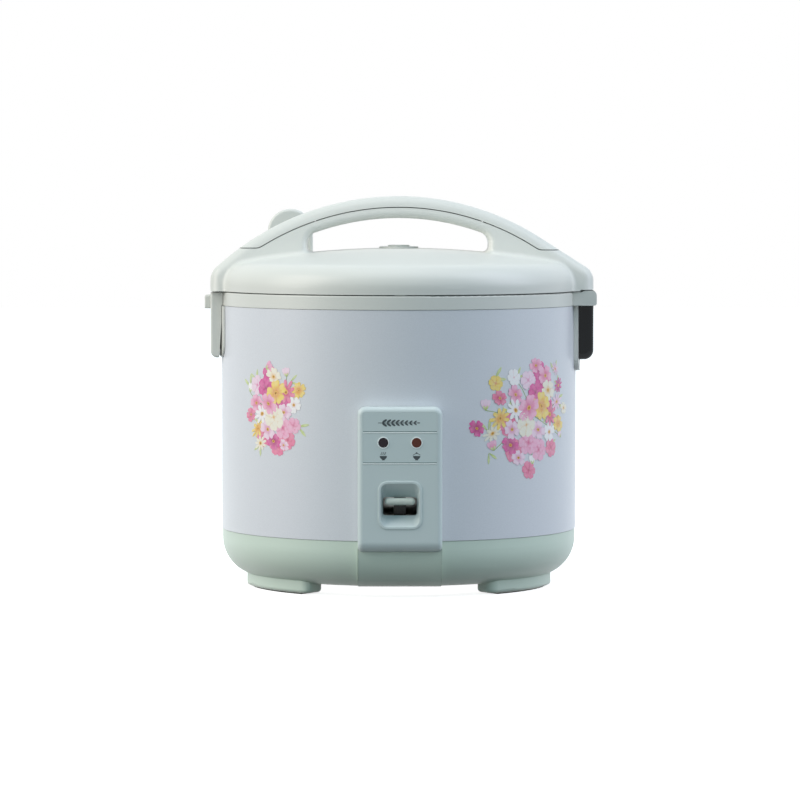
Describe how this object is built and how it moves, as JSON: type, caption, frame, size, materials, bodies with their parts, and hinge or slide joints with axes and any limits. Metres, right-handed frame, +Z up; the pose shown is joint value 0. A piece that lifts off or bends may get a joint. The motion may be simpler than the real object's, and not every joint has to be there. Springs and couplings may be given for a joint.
{
  "type": "rice cooker",
  "caption": "Jar-type electric rice cooker: painted steel drum on a plastic base, hinged lid with arched carry handle, front lever panel, steam cap and dew collector.",
  "frame": {"origin": "on the drum's vertical axis, in the plane of the feet", "axes": "+Z up, the front panel faces -Y, the lid's hinge is at +X and its latch at -X"},
  "size_m": [0.2691, 0.2621, 0.2674],
  "materials": {
    "ivory_plastic": "satin moulded",
    "shell_paint": "satin pearl with printed blossoms",
    "panel_plastic": "satin moulded",
    "inlay_plastic": "fine matt",
    "smoke_plastic": "clear smoke",
    "lamp_plastic": "tinted lens",
    "knob_plastic": "satin moulded",
    "dark_plastic": "matt",
    "board": "phenolic board",
    "foot_rubber": "matt",
    "seal_rubber": "matt silicone",
    "pan_coating": "dark non-stick",
    "aluminium": "brushed",
    "cast_aluminium": "turned cast",
    "casing_steel": "rolled",
    "plain_steel": "zinc plated",
    "element_steel": "heat tinted",
    "spring_steel": "drawn",
    "heater_cloth": "glass fibre",
    "brass": "turned",
    "ferrite": "sintered"
  },
  "bodies": {
    "cooker": {"base_housing": "ivory_plastic", "bottom_cover": "plain_steel", "foot_pads": "foot_rubber", "base_front_cover": "ivory_plastic", "base_screws": "plain_steel", "power_inlet": "dark_plastic", "inlet_pins": "brass", "terminal_block": "dark_plastic", "outer_shell": "shell_paint", "upper_frame": "ivory_plastic", "hinge_pin": "plain_steel", "hinge_spring": "spring_steel", "inner_casing": "casing_steel", "casing_posts": "plain_steel", "plate_standoffs": "plain_steel", "heating_plate": "cast_aluminium", "heating_element": "element_steel", "side_heater_band": "heater_cloth", "thermal_fuse": "plain_steel", "sensor_spring": "spring_steel", "thermostat_sleeve": "plain_steel", "control_panel": "panel_plastic", "badge_plate": "inlay_plastic", "indicator_plate": "inlay_plastic", "cook_lamp_lens": "lamp_plastic", "warm_lamp_lens": "lamp_plastic", "neon_lamps": "lamp_plastic", "lamp_board": "board", "board_screws": "plain_steel", "switch_bracket": "plain_steel", "lever_pin": "plain_steel", "micro_switch": "dark_plastic", "latch_bracket": "ivory_plastic", "latch_pin": "plain_steel", "latch_spring": "spring_steel", "hinge_bracket": "ivory_plastic", "bracket_screws": "plain_steel", "bracket_nuts": "plain_steel"},
    "lid": {"lid_cover": "ivory_plastic", "handle_grip": "ivory_plastic", "handle_screws": "plain_steel", "lid_center_cap": "ivory_plastic", "lid_liner": "aluminium", "liner_screws": "plain_steel", "lid_heater": "heater_cloth", "lid_gasket": "seal_rubber", "inner_lid": "aluminium", "lid_stud": "plain_steel", "stud_grommet": "seal_rubber", "steam_duct": "ivory_plastic"},
    "steam_cap": {"steam_cap": "ivory_plastic"},
    "latch": {"latch_lever": "ivory_plastic"},
    "lever": {"switch_lever": "plain_steel", "lever_knob": "knob_plastic"},
    "magnet": {"magnet_holder": "plain_steel", "magnet": "ferrite"},
    "sensor": {"sensor_cap": "aluminium", "ferrite_disc": "ferrite"},
    "pan": {"inner_pan": "pan_coating"},
    "collector": {"dew_collector": "smoke_plastic"}
  },
  "joints": [
    {"name": "lid_hinge", "type": "hinge", "parent": "cooker", "child": "lid", "pos_m": [0.131, 0, 0.199], "axis": [0, 1, 0], "range_deg": [0, 85], "deforming": ["hinge_spring"]},
    {"name": "steam_lift", "type": "slide", "parent": "lid", "child": "steam_cap", "axis": [0, 0, 1], "range_m": [0, 0.02]},
    {"name": "latch_release", "type": "hinge", "parent": "cooker", "child": "latch", "pos_m": [-0.1256, 0, 0.181], "axis": [0, -1, 0], "range_deg": [0, 3.8], "stiffness_Nm_per_rad": 0.05, "springref_deg": -5.73, "deforming": ["latch_spring"]},
    {"name": "collector_pull", "type": "slide", "parent": "cooker", "child": "collector", "axis": [1, 0, 0], "range_m": [0, 0.025]},
    {"name": "lever_press", "type": "hinge", "parent": "cooker", "child": "lever", "pos_m": [0, -0.06, 0.04], "axis": [1, 0, 0], "range_deg": [0, 4.8], "stiffness_Nm_per_rad": 0.1, "springref_deg": -5.73},
    {"name": "magnet_lift", "type": "slide", "parent": "cooker", "child": "magnet", "axis": [0, 0, 1], "range_m": [0, 0.0054]},
    {"name": "sensor_press", "type": "slide", "parent": "cooker", "child": "sensor", "axis": [0, 0, -1], "range_m": [0, 0.0025], "stiffness_N_per_m": 300, "springref_m": -0.004, "deforming": ["sensor_spring"]},
    {"name": "pan_turn", "type": "hinge", "parent": "cooker", "child": "pan", "pos_m": [0, 0, 0.078], "axis": [0, 0, 1], "continuous": true}
  ],
  "couplings": [
    {"joint": "magnet_lift", "follows": "lever_press", "m_per_rad": 0.0633}
  ]
}
